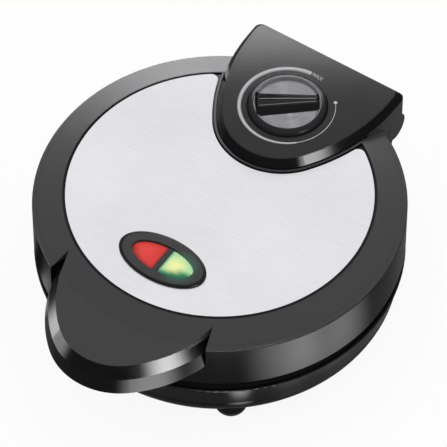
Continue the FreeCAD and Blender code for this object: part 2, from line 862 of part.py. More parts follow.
# Console cover with the two hinge knuckles and the dial recess
def make_console_cover():
    outer = [taper(console_outline, console_spread, console_shoulder, 0.0, console_top),
             prism(console_outline, console_spread, hinge_z, console_shoulder),
             cross_rod(knuckle_radius, -console_outer_half, console_outer_half, hinge_y, hinge_z)]
    shell = joined(outer)
    top_edges = [e for e in shell.Edges if e.BoundBox.ZMin > console_top - console_edge_round]
    shell = shell.makeFillet(console_edge_round, top_edges).cut(lid_body(seat_gap))
    below = hinge_z - 2 * knuckle_radius
    inner_grow = console_spread - shell_wall
    ceiling_grow = inner_grow - console_spread * (console_bevel_drop - shell_wall) / console_bevel_drop
    hollow = joined([prism(console_outline, inner_grow, below, console_shoulder),
                     taper(console_outline, inner_grow, console_shoulder, ceiling_grow, console_ceiling)])
    for side in (-1, 1):
        inner = side * knuckle_inner
        outer_x = side * console_outer_half
        hollow = hollow.cut(block(min(inner, outer_x), max(inner, outer_x), lid_back - shell_wall,
                                  console_reach, below, console_top))
    opening = block(-knuckle_inner, knuckle_inner, lid_back, console_reach, below, hinge_z + back_wall_lift)
    shell = shell.cut(hollow).cut(opening)
    bottom = recess_floor + seat_gap
    cup_bottom = dial_seat - dial_recess_wall
    added = [rod(dial_recess_radius + dial_recess_wall, cup_bottom, console_ceiling, 0.0, dial_y)]
    for x, y in console_boss_places:
        added.append(rod(console_boss_radius, bottom, console_ceiling, x, y))
    shell = shell.multiFuse(added)
    shell = shell.cut(rod(dial_recess_radius, dial_seat, console_top, 0.0, dial_y))
    shell = shell.cut(rod(dial_hub_radius + dial_gap, cup_bottom, dial_seat, 0.0, dial_y))
    for x, y in console_boss_places:
        shell = shell.cut(thread_hole(x, y, bottom, bottom + console_thread_depth))
    for side in (-1, 1):
        shell = shell.cut(pin_hole(side, 0.0, hinge_side_gap + pin_in_knuckle + end_play))
    return shell.removeSplitter()


def make_console_screws():
    tip = recess_floor + seat_gap + console_thread_depth - screw_tip_gap
    return Part.makeCompound([screw(x, y, lid_ceiling, tip) for x, y in console_boss_places])


# Oval lamp window in the front of the panel
def make_indicator_bezel():
    flange = oval(bezel_half_length, bezel_half_width, lid_top, lid_top + bezel_rise)
    top_edges = [e for e in flange.Edges if e.BoundBox.ZMin > lid_top + bezel_rise / 2]
    flange = flange.makeFillet(bezel_round, top_edges)
    body = oval(bezel_hole_length, bezel_hole_width, bezel_bottom, lid_top)
    window = oval(window_half_length, window_half_width, bezel_bottom, lid_top + bezel_rise)
    rib = block(-bezel_rib / 2, bezel_rib / 2, lamp_y - bezel_hole_width, lamp_y + bezel_hole_width,
                bezel_bottom, lid_top + bezel_rise - bezel_rib_sink).common(window)
    return flange.fuse(body).cut(window).fuse(rib).removeSplitter()


def make_lens(side):
    top = oval(window_half_length - seat_gap, window_half_width - seat_gap,
               bezel_bottom, lid_top + bezel_rise - lens_sink)
    flange = oval(window_half_length + lens_flange, window_half_width + lens_flange,
                  bezel_bottom - lens_flange_thickness, bezel_bottom)
    edge = side * (bezel_rib / 2 + seat_gap)
    far = side * bezel_half_length
    half = block(min(edge, far), max(edge, far), lamp_y - bezel_half_width, lamp_y + bezel_half_width,
                 lid_ceiling - bezel_depth, console_top)
    return top.fuse(flange).common(half).removeSplitter()


def make_lamp(side):
    bottom = lid_ceiling - holder_drop
    bulb = rod(lamp_radius, bottom, bottom + lamp_height, side * lamp_side, lamp_y)
    top_edges = [e for e in bulb.Edges if e.BoundBox.ZMin > bottom + lamp_height / 2]
    return bulb.makeFillet(lamp_radius / 2, top_edges)


def make_lamp_holder():
    inner = bezel_hole_length + seat_gap + holder_overhang
    outer = inner + holder_leg
    top = lid_ceiling - holder_drop
    front = lamp_y - holder_half_width
    rear = lamp_y + holder_half_width
    plate = block(-outer, outer, front, rear, top - holder_plate, top)
    legs = [block(-outer, -inner, front, rear, top, lid_ceiling),
            block(inner, outer, front, rear, top, lid_ceiling)]
    return plate.multiFuse(legs).removeSplitter()


# Thermostat under the dial
def make_thermostat_body():
    bottom = lid_ceiling - thermostat_height
    front = dial_y - thermostat_width / 2
    body = block(-thermostat_length / 2, thermostat_length / 2, front, front + thermostat_width,
                 bottom, lid_ceiling)
    bush_top = lid_ceiling + thermostat_bush_rise
    bush = rod(thermostat_bush_radius, lid_ceiling, bush_top, 0.0, dial_y)
    bore = rod(shaft_radius + run_gap, bottom + thermostat_sump, bush_top, 0.0, dial_y)
    return body.fuse(bush).cut(bore).removeSplitter()


def make_thermostat_shaft():
    bottom = lid_ceiling - thermostat_height + thermostat_sump + dial_float
    return rod(shaft_radius, bottom, dial_under + shaft_in_dial, 0.0, dial_y)


def make_thermal_fuse():
    z = 2 * parting - shield_under + fuse_radius
    half = fuse_length / 2
    lead = half + fuse_lead_length
    return joined([cross_rod(fuse_radius, fuse_x - half, fuse_x + half, fuse_y, z),
                   cross_rod(fuse_lead_radius, fuse_x - lead, fuse_x + lead, fuse_y, z)])


# Dial: rounded rim, sunk flat face and a tapered grip bar with sloping sides that points at the scale
def dial_disc():
    turn = math.radians(45)
    crest = dial_rim_radius + dial_crest_width
    round_over = dial_radius - crest
    edge_z = dial_rim_top - round_over
    edge_middle = V(crest + round_over * math.sin(turn), 0, edge_z + round_over * math.cos(turn))
    edge = Part.Arc(V(dial_radius, 0, edge_z), edge_middle, V(crest, 0, dial_rim_top)).toShape()
    edges = path(ring_points((0.0, dial_floor), (0.0, dial_under), (dial_radius, dial_under),
                             (dial_radius, edge_z)))
    edges += [edge] + path(ring_points((crest, dial_rim_top), (dial_rim_radius, dial_rim_top),
                                       (dial_rim_radius - dial_dish_slope, dial_floor), (0.0, dial_floor)))
    return lathe(edges)


def dial_bar_outline(share, z):
    """Outline of the bar: share 0 at its top, 1 where its sides meet the face."""
    def between(top, foot):
        return (top + (foot - top) * share) / 2

    half = between(dial_bar_length, dial_bar_foot_length)
    wide = between(dial_bar_wide_end, dial_bar_foot_wide_end)
    narrow = between(dial_bar_narrow_end, dial_bar_foot_narrow_end)
    return Part.makePolygon([V(-half, -wide, z), V(half, -narrow, z), V(half, narrow, z), V(-half, wide, z),
                             V(-half, -wide, z)])


def dial_bar():
    top = console_top + dial_bar_rise
    share = (top - dial_floor + dial_bar_sink) / (top - dial_floor)
    bar = Part.makeLoft([dial_bar_outline(share, dial_floor - dial_bar_sink), dial_bar_outline(0.0, top)],
                        True, True)
    bar = bar.makeFillet(dial_bar_round, [e for e in bar.Edges if e.BoundBox.ZMin > top - dial_bar_round])
    bar.rotate(V(0, 0, 0), UP, dial_pointer_angle)
    return bar


def make_temperature_dial():
    hub = rod(dial_hub_radius, dial_under - dial_hub_depth, dial_under)
    dial = joined([dial_disc(), dial_bar(), hub])
    dial = dial.cut(rod(shaft_radius + press_gap, dial_under - dial_hub_depth, dial_under + shaft_in_dial))
    dial.translate(V(0, dial_y, 0))
    return dial


parts = {
    "base_shell": make_base_shell(),
    "hinge_bracket": make_hinge_bracket(),
    "bracket_screws": make_bracket_screws(),
    "base_plate_frame": make_plate_frame(base_rim_radius - shell_wall),
    "lower_waffle_plate": make_waffle_plate(),
    "lower_plate_rim": make_plate_rim(),
    "lower_heating_element": make_heating_element(),
    "lower_heat_shield": make_heat_shield(),
    "lower_shield_screw": make_shield_screw(),
    "lower_plate_screws": make_lower_plate_screws(),
    "left_hinge_pin": make_hinge_pin(-1),
    "right_hinge_pin": make_hinge_pin(1),
    "cord_gland": make_cord_gland(),
    "terminal_block": make_terminal_block(),
    "lid_shell": make_lid_shell(),
    "lid_plate_frame": mirrored_up(make_plate_frame(lid_radius - shell_wall)),
    "upper_plate_screws": make_upper_plate_screws(),
    "thermal_fuse": make_thermal_fuse(),
    "handle_lower_cover": make_handle_lower_cover(),
    "handle_screws": make_handle_screws(),
    "lid_panel": make_lid_panel(),
    "console_cover": make_console_cover(),
    "console_screws": make_console_screws(),
    "indicator_bezel": make_indicator_bezel(),
    "red_lens": make_lens(-1),
    "green_lens": make_lens(1),
    "red_lamp": make_lamp(-1),
    "green_lamp": make_lamp(1),
    "lamp_holder": make_lamp_holder(),
    "thermostat_body": make_thermostat_body(),
    "thermostat_shaft": make_thermostat_shaft(),
    "temperature_dial": make_temperature_dial(),
}
for name, (x, y) in foot_places.items():
    parts[name] = make_foot(x, y)
for piece in ("waffle_plate", "plate_rim", "heating_element", "heat_shield", "shield_screw"):
    parts["upper_" + piece] = mirrored_up(parts["lower_" + piece])

os.makedirs("parts", exist_ok=True)
for name, shape in parts.items():
    shape.translate(V(0, axis_shift, 0))
    shape.exportStep("parts/" + name + ".step")
    box = shape.BoundBox
    print(name, len(shape.Solids), shape.isValid(), round(shape.Volume), [round(v, 2) for v in (
        box.XMin, box.XMax, box.YMin, box.YMax, box.ZMin, box.ZMax)])
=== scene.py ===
# %% [markdown]
# # A round waffle maker
# The maker stands closed on its feet: a black bowl below, and above it a lid with a brushed steel
# panel, a dial console over the hinge and a lift handle at the front. The shells, plates and dial
# come from the CAD model as fixed nodes. This file gives each of them a finish, adds the print round
# the dial and two fine ridges on its grip bar, and sets up the studio and the camera.

import json
import math

import bpy
from mathutils import Matrix, Vector


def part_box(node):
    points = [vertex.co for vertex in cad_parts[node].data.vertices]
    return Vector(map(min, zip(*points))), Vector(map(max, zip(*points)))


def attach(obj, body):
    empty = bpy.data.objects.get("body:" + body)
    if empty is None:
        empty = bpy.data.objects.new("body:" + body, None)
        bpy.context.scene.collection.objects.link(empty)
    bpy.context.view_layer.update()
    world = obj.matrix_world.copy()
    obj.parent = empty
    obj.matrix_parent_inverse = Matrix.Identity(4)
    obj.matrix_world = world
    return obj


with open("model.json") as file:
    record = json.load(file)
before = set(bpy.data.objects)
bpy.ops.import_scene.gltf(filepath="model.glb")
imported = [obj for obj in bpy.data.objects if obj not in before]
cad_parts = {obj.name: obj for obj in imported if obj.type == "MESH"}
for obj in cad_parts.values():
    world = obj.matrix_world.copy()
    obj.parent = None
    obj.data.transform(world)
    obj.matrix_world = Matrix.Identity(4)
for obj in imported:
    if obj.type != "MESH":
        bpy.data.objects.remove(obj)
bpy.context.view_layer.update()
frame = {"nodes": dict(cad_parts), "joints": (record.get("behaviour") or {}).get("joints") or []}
nodes = frame["nodes"]
joints = {joint["name"]: joint for joint in frame["joints"]}
print("nodes:", len(nodes), "joints:", sorted(joints))

# %% [markdown]
# ## Where things are
# The main places are read from the frame, so a change in the CAD model moves the finishes with it. The
# levels of the lid and the console separate their matt faces from their glossy ones, and the dial's
# axis is the centre of everything printed round the dial. What the frame doesn't hold, such as the
# outline of the grip bar, is a named size beside the cell that needs it.

# %% Places read from the frame
mm = 0.001
lid_wall = 2.7 * mm


def middle(node):
    low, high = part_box(node)
    return (low + high) / 2


lid_axis = middle("lower_waffle_plate").y
panel_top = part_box("lid_panel")[1].z
panel_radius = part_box("lid_panel")[1].x
console_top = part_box("console_cover")[1].z
lid_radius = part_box("lid_plate_frame")[1].x + lid_wall
dial_axis = Vector(joints["dial_turn"]["pos_m"])
print("panel at", round(panel_top / mm, 2), "console at", round(console_top / mm, 2))

# %% [markdown]
# ## A small language for finishes
# Node graphs are easiest to read as sums. `Wire` stands for one socket and turns Python arithmetic
# into Math nodes. `Graph.node` adds any other node, with its settings first and its inputs after.
# `Finish` is a material whose Principled shader takes constants at once and varying values later.

# %% Wires and graphs
class Wire:
    """One value in a node graph, open to Python arithmetic."""

    def __init__(self, graph, socket):
        self.graph = graph
        self.socket = socket

    def math(self, operation, first, second):
        return self.graph.node("ShaderNodeMath", {"operation": operation}, {0: first, 1: second})

    def __add__(self, other):
        return self.math("ADD", self, other)

    def __sub__(self, other):
        return self.math("SUBTRACT", self, other)

    def __rsub__(self, other):
        return self.math("SUBTRACT", other, self)

    def __mul__(self, other):
        return self.math("MULTIPLY", self, other)

    def __truediv__(self, other):
        return self.math("DIVIDE", self, other)

    __radd__ = __add__
    __rmul__ = __mul__


class Graph:
    """A node tree with one way to add a node."""

    def __init__(self, tree):
        self.tree = tree

    def node(self, kind, settings=None, inputs=None, output=0):
        made = self.tree.nodes.new(kind)
        for name, value in (settings or {}).items():
            setattr(made, name, value)
        for name, value in (inputs or {}).items():
            self.feed(made.inputs[name], value)
        return Wire(self, made.outputs[output])

    def feed(self, socket, value):
        if isinstance(value, Wire):
            self.tree.links.new(value.socket, socket)
        else:
            socket.default_value = value

    def rise(self, value, low, high):
        """0 below low, 1 above high, smooth between."""
        settings = {"interpolation_type": "SMOOTHSTEP"}
        return self.node("ShaderNodeMapRange", settings, {0: value, 1: low, 2: high})

    def larger(self, first, second):
        return self.node("ShaderNodeMath", {"operation": "MAXIMUM"}, {0: first, 1: second})

    def size(self, value):
        return self.node("ShaderNodeMath", {"operation": "ABSOLUTE"}, {0: value})

    def tint(self, share, first, second):
        """The first colour where share is 0 and the second where it is 1."""
        return self.node("ShaderNodeMix", {"data_type": "RGBA"}, {0: share, 6: first, 7: second}, 2)


def grey(level):
    return (level, level, level * 1.03, 1.0)


class Finish(Graph):
    """A material, made from constants and from values that change over the surface."""

    def __init__(self, name, constants):
        self.material = bpy.data.materials.new(name)
        self.material.use_nodes = True
        super().__init__(self.material.node_tree)
        self.shader = self.tree.nodes["Principled BSDF"]
        self.set(constants)
        self.object_place = self.node("ShaderNodeTexCoord", output=3)

    def set(self, values):
        for name, value in values.items():
            self.feed(self.shader.inputs[name], value)

    def place(self):
        parts = self.node("ShaderNodeSeparateXYZ", inputs={0: self.object_place})
        return [Wire(self, output) for output in parts.socket.node.outputs]

    def reach(self, across, along):
        """Distance from an upright axis."""
        return self.node("ShaderNodeMath", {"operation": "SQRT"}, {0: across * across + along * along})

    def noise(self, scale, detail=2.0, stretch=(1.0, 1.0, 1.0)):
        place = self.node("ShaderNodeMapping", inputs={"Vector": self.object_place, "Scale": stretch})
        inputs = {"Vector": place, "Scale": scale, "Detail": detail}
        return self.node("ShaderNodeTexNoise", inputs=inputs)

    def bump(self, height, distance):
        inputs = {"Height": height, "Distance": distance, "Strength": 1.0}
        self.set({"Normal": self.node("ShaderNodeBump", inputs=inputs)})

    def wear(self, *names):
        for name in names:
            slots = nodes[name].data.materials
            slots.clear()
            slots.append(self.material)
        print(self.material.name, "->", ", ".join(names))


# %% [markdown]
# ## Black and charcoal mouldings
# The lid is one moulding with two finishes: its top band and the top of the handle are spark eroded,
# which leaves a fine even texture, and its sides and the bevel round the handle are polished. A
# second material could be given to some faces, but the CAD mesh must stay as it is, so one material
# reads the height and the distance from the lid's axis and chooses between the two. The flat top of
# the handle also carries painted shade: its matt share is cut by about a fifth, which paints it a
# little darker than the band, because it catches more light than the sloped band.

# %% Moulded plastic with matt and polished faces
gloss_level = 0.004


def moulding(name, choose_matt, matt_level=0.045, matt_rough=0.36, polish=0.19):
    finish = Finish(name, {"Specular IOR Level": 0.15})
    matt = choose_matt(finish)
    fine = finish.noise(2600.0, 1.0)
    broad = finish.noise(45.0)
    level = finish.tint(matt, grey(gloss_level), grey(matt_level))
    colour = finish.tint(broad * 0.04, level, grey(matt_level * 1.5))
    rough = polish + matt * (matt_rough - polish) + (broad - 0.5) * 0.05
    finish.set({"Base Color": colour, "Roughness": rough})
    finish.bump(fine * matt, 0.03 * mm)
    return finish


def lid_matt(finish):
    x, y, z = finish.place()
    reach = finish.reach(x, y - lid_axis)
    edge = panel_top - 6.0 * mm
    band = finish.rise(z, edge - 0.4 * mm, edge - 0.2 * mm)
    band = band * (1.0 - finish.rise(reach, lid_radius - 0.15 * mm, lid_radius - 0.05 * mm))
    raised = finish.rise(z, edge + 0.75 * mm, edge + 0.95 * mm)
    handle = raised * finish.rise(reach, lid_radius - 3.1 * mm, lid_radius - 2.9 * mm)
    groove = 1.0 - finish.rise(reach, panel_radius + 1.6 * mm, panel_radius + 1.8 * mm)
    groove = groove * (1.0 - finish.rise(z, panel_top + 0.3 * mm, panel_top + 0.5 * mm))
    # Painted shade: the handle's flat top loses about a fifth of its matt share, so it renders as dark
    # as the sloped band.
    return finish.larger(band, raised) * (1.0 - groove) * (1.0 - handle * 0.21)


moulding("lid_moulding", lid_matt).wear("lid_shell")

# %% [markdown]
# The console has a satin top, a polished bevel and matt sides under the bevel. The bezel of the lamp
# window is matt inside a polished edge. The base and the lower half of the handle are polished all
# over, and the frames round the plates are matt all over.

# %% Console, base and frames
def console_matt(finish):
    _, y, z = finish.place()
    shoulder = console_top - 5.0 * mm
    rear = finish.rise(y, lid_axis + 78.0 * mm, lid_axis + 82.0 * mm)
    side = rear * (1.0 - finish.rise(z, shoulder - 0.2 * mm, shoulder))
    top = finish.rise(z, console_top - 0.6 * mm, console_top - 0.4 * mm)
    return finish.larger(side, top * 0.55)


def bezel_matt(finish):
    x, y, _ = finish.place()
    low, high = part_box("indicator_bezel")
    centre = (low + high) / 2
    across = (x - centre.x) / (high.x - centre.x)
    along = (y - centre.y) / (high.y - centre.y)
    return 1.0 - finish.rise(finish.reach(across, along), 0.91, 0.94)


def all_polished(finish):
    return 0.0


def all_matt(finish):
    return 1.0


moulding("console_moulding", console_matt, 0.036, matt_rough=0.16, polish=0.12).wear("console_cover")
moulding("base_moulding", all_polished).wear("base_shell", "hinge_bracket", "handle_lower_cover")
moulding("frame_moulding", all_matt, 0.016).wear("base_plate_frame", "lid_plate_frame")
bezel = moulding("bezel_moulding", bezel_matt, 0.024)
bezel.wear("indicator_bezel")

# %% [markdown]
# ## Brushed steel
# The panel is steel sheet, brushed in one direction. The brush leaves long fine scratches, so the
# noise is stretched along X: it changes the colour a little, the roughness more, and the surface by
# a few thousandths of a millimetre.

# %% Panel
def brushed_steel():
    finish = Finish("brushed_steel", {"Metallic": 1.0})
    streak = finish.noise(1.0, 3.0, (60.0, 2600.0, 60.0))
    cloud = finish.noise(14.0)
    tone = streak * 0.6 + cloud * 0.4
    finish.set({
        "Base Color": finish.tint(tone, grey(0.60), grey(0.95)),
        "Roughness": 0.24 + streak * 0.12,
    })
    finish.bump(streak, 0.004 * mm)
    return finish


brushed_steel().wear("lid_panel")

# %% [markdown]
# ## Dial
# The knob is grey, and its dished face has fine rings like those that a lathe leaves. A black grip bar
# crosses the dish and points at the scale. The knob's outer side is black too, so the material takes
# the bar from its outline, turned to the bar's own direction, and the side and the rings from the
# distance to the dial's axis.

# %% Knob
pointer_angle = math.radians(36.0)
bar_half_length = 18.0 * mm
bar_half_width = 7.0 * mm
bar_taper = 0.0833
face_radius = 19.0 * mm
ring_width = 0.2 * mm


def knob():
    finish = Finish("knob", {"Specular IOR Level": 0.1})
    x, y, _ = finish.place()
    across = x - dial_axis.x
    along = y - dial_axis.y
    reach = finish.reach(across, along)
    lengthwise = across * math.cos(pointer_angle) + along * math.sin(pointer_angle)
    sideways = along * math.cos(pointer_angle) - across * math.sin(pointer_angle)
    past_flank = finish.size(sideways) - (bar_half_width - lengthwise * bar_taper)
    past_end = finish.size(lengthwise) - bar_half_length
    bar = 1.0 - finish.rise(finish.larger(past_flank, past_end), 0.0, 0.1 * mm)
    side = finish.rise(reach, face_radius, face_radius + 0.4 * mm)
    black = finish.larger(bar, side)
    rings = {"W": reach / ring_width, "Detail": 1.0}
    spun = finish.node("ShaderNodeTexNoise", {"noise_dimensions": "1D"}, rings)
    disc = finish.tint(side, grey(0.15), grey(0.016))
    finish.set({
        "Base Color": finish.tint(bar, disc, grey(0.003)),
        "Metallic": (1.0 - black) * 0.4,
        "Roughness": 0.36 - black * 0.2 + spun * 0.06,
    })
    finish.bump(spun * (1.0 - black), 0.12 * mm)
    return finish


knob_finish = knob()
knob_finish.wear("temperature_dial")

# %% [markdown]
# Two fine ridges run along the top of the bar, where a fingertip rests. They are moulded with the knob
# and about a tenth of a millimetre high. A bump in the material could show them, but they catch the
# light as a shape, so each is a narrow hump of its own between two ends, closed below.

# %% Ridges on the bar
grip_ridges = {
    "rear": (2.4 * mm, 0.95 * mm, 0.11 * mm),
    "front": (-2.6 * mm, -0.95 * mm, 0.05 * mm),
}
ridge_half = 0.9 * mm
ridge_reach = 16.0 * mm
ridge_sink = 0.1 * mm
ridge_steps = 12


def ridge_row(lengthwise, sideways, height):
    """Points across a ridge, from edge to edge. Both edges dip under the top of the bar."""
    row = []
    for i in range(ridge_steps + 1):
        share = 2.0 * i / ridge_steps - 1.0
        hump = height * (0.5 + 0.5 * math.cos(math.pi * share))
        row.append((lengthwise, sideways + ridge_half * share, hump - ridge_sink * share ** 8))
    return row


def make_ridges():
    points = []
    faces = []
    for wide_end, narrow_end, height in grip_ridges.values():
        first = [len(points) + i for i in range(ridge_steps + 1)]
        last = [i + len(first) for i in first]
        points += ridge_row(-ridge_reach, wide_end, height) + ridge_row(ridge_reach, narrow_end, height)
        faces += [(first[i], last[i], last[i + 1], first[i + 1]) for i in range(ridge_steps)]
        faces += [(first[0], first[-1], last[-1], last[0]), first, last[::-1]]
    mesh = bpy.data.meshes.new("grip_ridges")
    mesh.from_pydata(points, [], faces)
    bar_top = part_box("temperature_dial")[1].z
    place = Matrix.Translation((dial_axis.x, dial_axis.y, bar_top))
    mesh.transform(place @ Matrix.Rotation(pointer_angle, 4, "Z"))
    mesh.shade_smooth()
    mesh.set_sharp_from_angle(angle=math.radians(40.0))
    mesh.materials.append(knob_finish.material)
    piece = bpy.data.objects.new("grip_ridges", mesh)
    bpy.context.scene.collection.objects.link(piece)
    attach(piece, "dial")
    print("ridge faces:", len(faces))


make_ridges()

# %% [markdown]
# ## Lamp window
# Two tinted lenses sit in the oval bezel, red on the left and green on the right. Both glow: the green
# one strongly, with a pale core that fades to the edge, and the red one evenly. So the glow is a
# colour that falls off with the distance from a lens's core. Towards the front of the window and the
# divider, both the tint and the glow are painted darker: this is painted shade.

# %% Lenses
lens_flange = 1.5 * mm
divider_half = 1.3 * mm
divider_fade = 2.4 * mm
edge_fade = 0.42


def lens(name, tints, glow_x, glow_y, edge_start):
    """A lens with four tints: unlit, the lamp's core, the halo round it and painted edge shade."""
    unlit, core, halo, edge_shade_tint = tints
    constants = {"Roughness": 0.16, "Specular IOR Level": 0.35, "Emission Strength": 1.0}
    finish = Finish(name + "_tint", constants)
    x, y, _ = finish.place()
    low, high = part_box(name)
    half = (high - low) / 2
    centre = low + half
    ripple = finish.noise(260.0) - 0.5
    across = (x - centre.x - glow_x) / half.x
    along = (y - centre.y - glow_y) / half.y
    fade = finish.rise(finish.reach(across, along) + ripple * 0.3, 0.1, 0.9)
    window_length = finish.size(x) / (max(high.x, -low.x) - lens_flange)
    window_width = (y - centre.y) / (half.y - lens_flange)
    outwards = finish.reach(window_length, window_width) + ripple * 0.15
    # Painted shade: towards the front edge of the window and towards the divider, colour and glow turn
    # to the shade tint.
    front = finish.rise(0.0 - window_width, -0.2, 0.3)
    edge = finish.rise(outwards, edge_start, edge_start + edge_fade) * front
    divider_shade = 1.0 - finish.rise(finish.size(x), divider_half, divider_half + divider_fade)
    edge = finish.larger(edge, divider_shade * 0.7)
    lit = finish.tint(fade, core, halo)
    finish.set({
        "Base Color": finish.tint(edge, unlit, edge_shade_tint),
        "Emission Color": finish.tint(edge, lit, edge_shade_tint),
    })
    return finish


# The last tint of each lens is its painted shade at the front edge and the divider.
red_tints = [
    (0.36, 0.018, 0.014, 1.0),
    (0.40, 0.026, 0.020, 1.0),
    (0.33, 0.010, 0.008, 1.0),
    (0.09, 0.003, 0.003, 1.0),
]
green_tints = [
    (0.05, 0.10, 0.05, 1.0),
    (0.82, 0.78, 0.32, 1.0),
    (0.34, 0.62, 0.30, 1.0),
    (0.002, 0.10, 0.045, 1.0),
]
lens("red_lens", red_tints, 0.0, 1.0 * mm, 0.64).wear("red_lens")
lens("green_lens", green_tints, -3.0 * mm, 0.6 * mm, 0.42).wear("green_lens")

# %% [markdown]
# The lit lamp also spills some green on the bezel round its lens. The spill is a faint emission that
# starts at the lens and fades over a few millimetres.

# %% Light spilled on the bezel
def spill(finish, name, colour):
    x, y, _ = finish.place()
    low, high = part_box(name)
    half = (high - low) / 2
    centre = low + half
    off = finish.reach((x - centre.x) / half.x, (y - centre.y) / half.y)
    fade = finish.rise(off, 0.7, 1.2)
    finish.set({"Emission Color": finish.tint(fade, colour, grey(0.0)), "Emission Strength": 1.0})
    print("light of", name, "on", finish.material.name)


spill(bezel, "green_lens", (0.002, 0.055, 0.03, 1.0))

# %% [markdown]
# ## Inside pieces, plates, screws and feet
# These show when the lid is open or the maker is turned over. Cast plates carry a dark non-stick coat
# with fine pale specks, tubes and screws are bare metal with some stain, and rubber is matt.

# %% Metals, coats, rubber and insulators
def stained(name, clean, stain, metallic, rough, scale=120.0):
    finish = Finish(name, {"Metallic": metallic})
    blotch = finish.noise(scale, 4.0)
    finish.set({
        "Base Color": finish.tint(blotch, clean, stain),
        "Roughness": rough + (blotch - 0.5) * 0.2,
    })
    finish.bump(finish.noise(scale * 8.0), 0.01 * mm)
    return finish


stained("plate_coat", grey(0.022), grey(0.07), 0.25, 0.38, 700.0).wear(
    "lower_waffle_plate", "upper_waffle_plate", "lower_plate_rim", "upper_plate_rim")
stained("element_sheath", (0.16, 0.14, 0.12, 1.0), (0.30, 0.27, 0.25, 1.0), 0.9, 0.45).wear(
    "lower_heating_element", "upper_heating_element")
stained("shield_sheet", grey(0.55), grey(0.42), 1.0, 0.35).wear(
    "lower_heat_shield", "upper_heat_shield")
stained("screw_zinc", grey(0.62), grey(0.40), 1.0, 0.32, 400.0).wear(
    "lower_shield_screw", "upper_shield_screw", "lower_plate_screws", "upper_plate_screws",
    "handle_screws", "console_screws", "bracket_screws")
stained("pin_steel", grey(0.62), grey(0.5), 1.0, 0.22).wear(
    "left_hinge_pin", "right_hinge_pin", "thermostat_shaft")
stained("thermostat_case", grey(0.58), grey(0.45), 1.0, 0.4).wear("thermostat_body", "thermal_fuse")
stained("foot_rubber", grey(0.018), grey(0.03), 0.0, 0.3, 200.0).wear(
    "front_left_foot", "front_right_foot", "rear_left_foot", "rear_right_foot", "cord_gland")
stained("pale_insulator", (0.75, 0.72, 0.66, 1.0), (0.66, 0.62, 0.55, 1.0), 0.0, 0.6).wear(
    "terminal_block", "lamp_holder")
stained("lamp_bulb", (0.85, 0.75, 0.55, 1.0), (0.75, 0.62, 0.42, 1.0), 0.0, 0.1).wear(
    "red_lamp", "green_lamp")

# %% [markdown]
# ## Scale printed round the dial
# A pale band grows wider clockwise round the knob, from a dot to the word at its hot end, with one
# step in its width. It could be drawn as a flat curve, but its width follows a rule, so Geometry
# Nodes sweep a thin section along two arcs and scale it from point to point.

# %% Geometry Nodes for the scale
scale_radius = 27.3 * mm


class Pattern(Graph):
    """A Geometry Nodes tree with named inputs."""

    def __init__(self, name):
        super().__init__(bpy.data.node_groups.new(name, "GeometryNodeTree"))
        self.values = {}
        self.tree.interface.new_socket("Geometry", in_out="OUTPUT", socket_type="NodeSocketGeometry")

    def inputs(self, values):
        for name, value in values.items():
            kind = "NodeSocketMaterial" if name == "Material" else "NodeSocketFloat"
            socket = self.tree.interface.new_socket(name, in_out="INPUT", socket_type=kind)
            self.values[socket.identifier] = value
        entry = self.tree.nodes.new("NodeGroupInput")
        return {output.name: Wire(self, output) for output in entry.outputs if output.name}

    def finish(self, geometry, material):
        solid = self.node("GeometryNodeRealizeInstances", inputs={"Geometry": geometry})
        inked = self.node("GeometryNodeSetMaterial", inputs={"Geometry": solid, "Material": material})
        leave = self.tree.nodes.new("NodeGroupOutput")
        self.feed(leave.inputs[0], inked)

    def make(self, name):
        """Runs the tree on an empty mesh and returns the result as a plain mesh object."""
        maker = bpy.data.objects.new(name, bpy.data.meshes.new(name))
        bpy.context.scene.collection.objects.link(maker)
        modifier = maker.modifiers.new(name, "NODES")
        modifier.node_group = self.tree
        for identifier, value in self.values.items():
            modifier[identifier] = value
        graph = bpy.context.evaluated_depsgraph_get()
        mesh = bpy.data.meshes.new_from_object(maker.evaluated_get(graph))
        maker.modifiers.clear()
        maker.data = mesh
        return maker


def ink(name, level):
    finish = Finish(name, {"Roughness": 0.5})
    worn = finish.noise(500.0, 3.0)
    finish.set({"Base Color": finish.tint(worn, grey(level), grey(level * 0.77))})
    return finish.material


def scale_band(pattern, radius, start, sweep, first, last):
    arc = pattern.node("GeometryNodeCurveArc", {"mode": "RADIUS"}, {
        "Resolution": 96, "Radius": radius, "Start Angle": start, "Sweep Angle": sweep})
    along = pattern.node("GeometryNodeSplineParameter")
    section = pattern.node("GeometryNodeCurvePrimitiveQuadrilateral", inputs={
        "Width": 1.0, "Height": 0.04})
    width = first + (last - first) * along * along
    return pattern.node("GeometryNodeCurveToMesh", inputs={
        "Curve": arc, "Profile Curve": section, "Scale": width, "Fill Caps": True})


